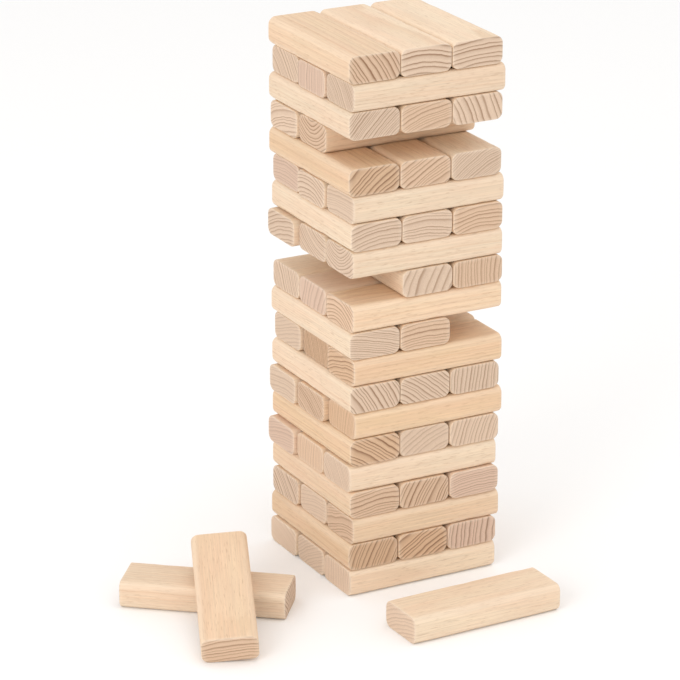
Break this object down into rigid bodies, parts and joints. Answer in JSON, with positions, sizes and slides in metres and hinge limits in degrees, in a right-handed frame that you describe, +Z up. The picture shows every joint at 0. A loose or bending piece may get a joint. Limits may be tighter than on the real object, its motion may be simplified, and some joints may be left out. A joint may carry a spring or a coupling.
{
  "type": "giant tumbling tower",
  "caption": "Giant tumbling tower lawn game: crossed layers of plain wooden blocks, with gaps where blocks were pulled and loose blocks beside it.",
  "frame": {"origin": "middle of the tower's footprint on the floor", "axes": "+Z up; +X along the blocks of the bottom layer, +Y along the blocks of the second layer"},
  "size_m": [0.3466, 0.2668, 0.5],
  "materials": {
    "block_wood": "sanded, unfinished softwood with eased edges"
  },
  "bodies": {
    "layer_01_back": {"layer_01_back": "block_wood"},
    "layer_01_front": {"layer_01_front": "block_wood"},
    "layer_01_middle": {"layer_01_middle": "block_wood"},
    "layer_02_left": {"layer_02_left": "block_wood"},
    "layer_02_middle": {"layer_02_middle": "block_wood"},
    "layer_02_right": {"layer_02_right": "block_wood"},
    "layer_03_back": {"layer_03_back": "block_wood"},
    "layer_03_front": {"layer_03_front": "block_wood"},
    "layer_03_middle": {"layer_03_middle": "block_wood"},
    "layer_04_left": {"layer_04_left": "block_wood"},
    "layer_04_middle": {"layer_04_middle": "block_wood"},
    "layer_04_right": {"layer_04_right": "block_wood"},
    "layer_05_back": {"layer_05_back": "block_wood"},
    "layer_05_front": {"layer_05_front": "block_wood"},
    "layer_05_middle": {"layer_05_middle": "block_wood"},
    "layer_06_left": {"layer_06_left": "block_wood"},
    "layer_06_middle": {"layer_06_middle": "block_wood"},
    "layer_06_right": {"layer_06_right": "block_wood"},
    "layer_07_back": {"layer_07_back": "block_wood"},
    "layer_07_front": {"layer_07_front": "block_wood"},
    "layer_07_middle": {"layer_07_middle": "block_wood"},
    "layer_08_left": {"layer_08_left": "block_wood"},
    "layer_08_middle": {"layer_08_middle": "block_wood"},
    "layer_08_right": {"layer_08_right": "block_wood"},
    "layer_09_back": {"layer_09_back": "block_wood"},
    "layer_09_front": {"layer_09_front": "block_wood"},
    "layer_09_middle": {"layer_09_middle": "block_wood"},
    "layer_10_left": {"layer_10_left": "block_wood"},
    "layer_10_middle": {"layer_10_middle": "block_wood"},
    "layer_11_back": {"layer_11_back": "block_wood"},
    "layer_11_front": {"layer_11_front": "block_wood"},
    "layer_11_middle": {"layer_11_middle": "block_wood"},
    "layer_12_middle": {"layer_12_middle": "block_wood"},
    "layer_12_right": {"layer_12_right": "block_wood"},
    "layer_13_back": {"layer_13_back": "block_wood"},
    "layer_13_front": {"layer_13_front": "block_wood"},
    "layer_13_middle": {"layer_13_middle": "block_wood"},
    "layer_14_left": {"layer_14_left": "block_wood"},
    "layer_14_middle": {"layer_14_middle": "block_wood"},
    "layer_14_right": {"layer_14_right": "block_wood"},
    "layer_15_back": {"layer_15_back": "block_wood"},
    "layer_15_front": {"layer_15_front": "block_wood"},
    "layer_15_middle": {"layer_15_middle": "block_wood"},
    "layer_16_left": {"layer_16_left": "block_wood"},
    "layer_16_middle": {"layer_16_middle": "block_wood"},
    "layer_16_right": {"layer_16_right": "block_wood"},
    "layer_17_back": {"layer_17_back": "block_wood"},
    "layer_17_middle": {"layer_17_middle": "block_wood"},
    "layer_18_left": {"layer_18_left": "block_wood"},
    "layer_18_middle": {"layer_18_middle": "block_wood"},
    "layer_18_right": {"layer_18_right": "block_wood"},
    "layer_19_back": {"layer_19_back": "block_wood"},
    "layer_19_front": {"layer_19_front": "block_wood"},
    "layer_19_middle": {"layer_19_middle": "block_wood"},
    "layer_20_left": {"layer_20_left": "block_wood"},
    "layer_20_middle": {"layer_20_middle": "block_wood"},
    "layer_20_right": {"layer_20_right": "block_wood"},
    "loose_block_leaning": {"loose_block_leaning": "block_wood"},
    "loose_block_left": {"loose_block_left": "block_wood"},
    "loose_block_right": {"loose_block_right": "block_wood"}
  },
  "joints": [
    {"name": "loose_block_left_slide", "type": "slide", "parent": "layer_01_middle", "child": "loose_block_left", "axis": [-0.7815, 0.6239, 0], "range_m": [0, 0.15]},
    {"name": "loose_block_leaning_lift", "type": "slide", "parent": "layer_01_middle", "child": "loose_block_leaning", "axis": [0, 0, 1], "range_m": [0, 0.5]},
    {"name": "loose_block_right_lift", "type": "slide", "parent": "layer_01_middle", "child": "loose_block_right", "axis": [0, 0, 1], "range_m": [0, 0.5]},
    {"name": "layer_20_left_lift", "type": "slide", "parent": "layer_01_middle", "child": "layer_20_left", "axis": [0, 0, 1], "range_m": [0, 0.1]},
    {"name": "layer_20_middle_lift", "type": "slide", "parent": "layer_01_middle", "child": "layer_20_middle", "axis": [0, 0, 1], "range_m": [0, 0.1]},
    {"name": "layer_20_right_lift", "type": "slide", "parent": "layer_01_middle", "child": "layer_20_right", "axis": [0, 0, 1], "range_m": [0, 0.1]},
    {"name": "layer_19_back_slide", "type": "slide", "parent": "layer_01_middle", "child": "layer_19_back", "axis": [1, 0, 0], "range_m": [-0.155, 0.155]},
    {"name": "layer_19_front_slide", "type": "slide", "parent": "layer_01_middle", "child": "layer_19_front", "axis": [1, 0, 0], "range_m": [-0.155, 0.155]},
    {"name": "layer_19_middle_slide", "type": "slide", "parent": "layer_01_middle", "child": "layer_19_middle", "axis": [1, 0, 0], "range_m": [-0.155, 0.155]},
    {"name": "layer_18_left_slide", "type": "slide", "parent": "layer_01_middle", "child": "layer_18_left", "axis": [0, 1, 0], "range_m": [-0.155, 0.155]},
    {"name": "layer_18_middle_slide", "type": "slide", "parent": "layer_01_middle", "child": "layer_18_middle", "axis": [0, 1, 0], "range_m": [-0.155, 0.155]},
    {"name": "layer_18_right_slide", "type": "slide", "parent": "layer_01_middle", "child": "layer_18_right", "axis": [0, 1, 0], "range_m": [-0.155, 0.155]},
    {"name": "layer_17_back_slide", "type": "slide", "parent": "layer_01_middle", "child": "layer_17_back", "axis": [1, 0, 0], "range_m": [-0.155, 0.155]},
    {"name": "layer_17_middle_slide", "type": "slide", "parent": "layer_01_middle", "child": "layer_17_middle", "axis": [1, 0, 0], "range_m": [-0.155, 0.155]},
    {"name": "layer_16_left_slide", "type": "slide", "parent": "layer_01_middle", "child": "layer_16_left", "axis": [0, 1, 0], "range_m": [-0.155, 0.155]},
    {"name": "layer_16_middle_slide", "type": "slide", "parent": "layer_01_middle", "child": "layer_16_middle", "axis": [0, 1, 0], "range_m": [-0.155, 0.155]},
    {"name": "layer_16_right_slide", "type": "slide", "parent": "layer_01_middle", "child": "layer_16_right", "axis": [0, 1, 0], "range_m": [-0.155, 0.155]},
    {"name": "layer_15_back_slide", "type": "slide", "parent": "layer_01_middle", "child": "layer_15_back", "axis": [1, 0, 0], "range_m": [-0.155, 0.155]},
    {"name": "layer_15_front_slide", "type": "slide", "parent": "layer_01_middle", "child": "layer_15_front", "axis": [1, 0, 0], "range_m": [-0.155, 0.155]},
    {"name": "layer_15_middle_slide", "type": "slide", "parent": "layer_01_middle", "child": "layer_15_middle", "axis": [1, 0, 0], "range_m": [-0.155, 0.155]},
    {"name": "layer_14_left_slide", "type": "slide", "parent": "layer_01_middle", "child": "layer_14_left", "axis": [0, 1, 0], "range_m": [-0.155, 0.155]},
    {"name": "layer_14_middle_slide", "type": "slide", "parent": "layer_01_middle", "child": "layer_14_middle", "axis": [0, 1, 0], "range_m": [-0.155, 0.155]},
    {"name": "layer_14_right_slide", "type": "slide", "parent": "layer_01_middle", "child": "layer_14_right", "axis": [0, 1, 0], "range_m": [-0.155, 0.155]},
    {"name": "layer_13_back_slide", "type": "slide", "parent": "layer_01_middle", "child": "layer_13_back", "axis": [1, 0, 0], "range_m": [-0.155, 0.155]},
    {"name": "layer_13_front_slide", "type": "slide", "parent": "layer_01_middle", "child": "layer_13_front", "axis": [1, 0, 0], "range_m": [-0.155, 0.155]},
    {"name": "layer_13_middle_slide", "type": "slide", "parent": "layer_01_middle", "child": "layer_13_middle", "axis": [1, 0, 0], "range_m": [-0.155, 0.155]},
    {"name": "layer_12_middle_slide", "type": "slide", "parent": "layer_01_middle", "child": "layer_12_middle", "axis": [0, 1, 0], "range_m": [-0.155, 0.155]},
    {"name": "layer_12_right_slide", "type": "slide", "parent": "layer_01_middle", "child": "layer_12_right", "axis": [0, 1, 0], "range_m": [-0.155, 0.155]},
    {"name": "layer_11_back_slide", "type": "slide", "parent": "layer_01_middle", "child": "layer_11_back", "axis": [1, 0, 0], "range_m": [-0.155, 0.155]},
    {"name": "layer_11_front_slide", "type": "slide", "parent": "layer_01_middle", "child": "layer_11_front", "axis": [1, 0, 0], "range_m": [-0.155, 0.155]},
    {"name": "layer_11_middle_slide", "type": "slide", "parent": "layer_01_middle", "child": "layer_11_middle", "axis": [1, 0, 0], "range_m": [-0.155, 0.155]},
    {"name": "layer_10_left_slide", "type": "slide", "parent": "layer_01_middle", "child": "layer_10_left", "axis": [0, 1, 0], "range_m": [-0.155, 0.155]},
    {"name": "layer_10_middle_slide", "type": "slide", "parent": "layer_01_middle", "child": "layer_10_middle", "axis": [0, 1, 0], "range_m": [-0.155, 0.155]},
    {"name": "layer_09_back_slide", "type": "slide", "parent": "layer_01_middle", "child": "layer_09_back", "axis": [1, 0, 0], "range_m": [-0.155, 0.155]},
    {"name": "layer_09_front_slide", "type": "slide", "parent": "layer_01_middle", "child": "layer_09_front", "axis": [1, 0, 0], "range_m": [-0.155, 0.155]},
    {"name": "layer_09_middle_slide", "type": "slide", "parent": "layer_01_middle", "child": "layer_09_middle", "axis": [1, 0, 0], "range_m": [-0.155, 0.155]},
    {"name": "layer_08_left_slide", "type": "slide", "parent": "layer_01_middle", "child": "layer_08_left", "axis": [0, 1, 0], "range_m": [-0.155, 0.155]},
    {"name": "layer_08_middle_slide", "type": "slide", "parent": "layer_01_middle", "child": "layer_08_middle", "axis": [0, 1, 0], "range_m": [-0.155, 0.155]},
    {"name": "layer_08_right_slide", "type": "slide", "parent": "layer_01_middle", "child": "layer_08_right", "axis": [0, 1, 0], "range_m": [-0.155, 0.155]},
    {"name": "layer_07_back_slide", "type": "slide", "parent": "layer_01_middle", "child": "layer_07_back", "axis": [1, 0, 0], "range_m": [-0.155, 0.155]},
    {"name": "layer_07_front_slide", "type": "slide", "parent": "layer_01_middle", "child": "layer_07_front", "axis": [1, 0, 0], "range_m": [-0.155, 0.155]},
    {"name": "layer_07_middle_slide", "type": "slide", "parent": "layer_01_middle", "child": "layer_07_middle", "axis": [1, 0, 0], "range_m": [-0.155, 0.155]},
    {"name": "layer_06_left_slide", "type": "slide", "parent": "layer_01_middle", "child": "layer_06_left", "axis": [0, 1, 0], "range_m": [-0.155, 0.155]},
    {"name": "layer_06_middle_slide", "type": "slide", "parent": "layer_01_middle", "child": "layer_06_middle", "axis": [0, 1, 0], "range_m": [-0.155, 0.155]},
    {"name": "layer_06_right_slide", "type": "slide", "parent": "layer_01_middle", "child": "layer_06_right", "axis": [0, 1, 0], "range_m": [-0.155, 0.155]},
    {"name": "layer_05_back_slide", "type": "slide", "parent": "layer_01_middle", "child": "layer_05_back", "axis": [1, 0, 0], "range_m": [-0.155, 0.155]},
    {"name": "layer_05_front_slide", "type": "slide", "parent": "layer_01_middle", "child": "layer_05_front", "axis": [1, 0, 0], "range_m": [-0.155, 0.155]},
    {"name": "layer_05_middle_slide", "type": "slide", "parent": "layer_01_middle", "child": "layer_05_middle", "axis": [1, 0, 0], "range_m": [-0.155, 0.155]},
    {"name": "layer_04_left_slide", "type": "slide", "parent": "layer_01_middle", "child": "layer_04_left", "axis": [0, 1, 0], "range_m": [-0.155, 0.155]},
    {"name": "layer_04_middle_slide", "type": "slide", "parent": "layer_01_middle", "child": "layer_04_middle", "axis": [0, 1, 0], "range_m": [-0.155, 0.155]},
    {"name": "layer_04_right_slide", "type": "slide", "parent": "layer_01_middle", "child": "layer_04_right", "axis": [0, 1, 0], "range_m": [-0.155, 0.155]},
    {"name": "layer_03_back_slide", "type": "slide", "parent": "layer_01_middle", "child": "layer_03_back", "axis": [1, 0, 0], "range_m": [-0.155, 0.155]},
    {"name": "layer_03_front_slide", "type": "slide", "parent": "layer_01_middle", "child": "layer_03_front", "axis": [1, 0, 0], "range_m": [0, 0.155]},
    {"name": "layer_03_middle_slide", "type": "slide", "parent": "layer_01_middle", "child": "layer_03_middle", "axis": [1, 0, 0], "range_m": [0, 0.155]},
    {"name": "layer_02_left_slide", "type": "slide", "parent": "layer_01_middle", "child": "layer_02_left", "axis": [0, 1, 0], "range_m": [0, 0.155]},
    {"name": "layer_02_middle_slide", "type": "slide", "parent": "layer_01_middle", "child": "layer_02_middle", "axis": [0, 1, 0], "range_m": [0, 0.155]},
    {"name": "layer_02_right_slide", "type": "slide", "parent": "layer_01_middle", "child": "layer_02_right", "axis": [0, 1, 0], "range_m": [0, 0.155]},
    {"name": "layer_01_back_slide", "type": "slide", "parent": "layer_01_middle", "child": "layer_01_back", "axis": [1, 0, 0], "range_m": [0, 0.155]},
    {"name": "layer_01_front_slide", "type": "slide", "parent": "layer_01_middle", "child": "layer_01_front", "axis": [1, 0, 0], "range_m": [0, 0.155]}
  ]
}
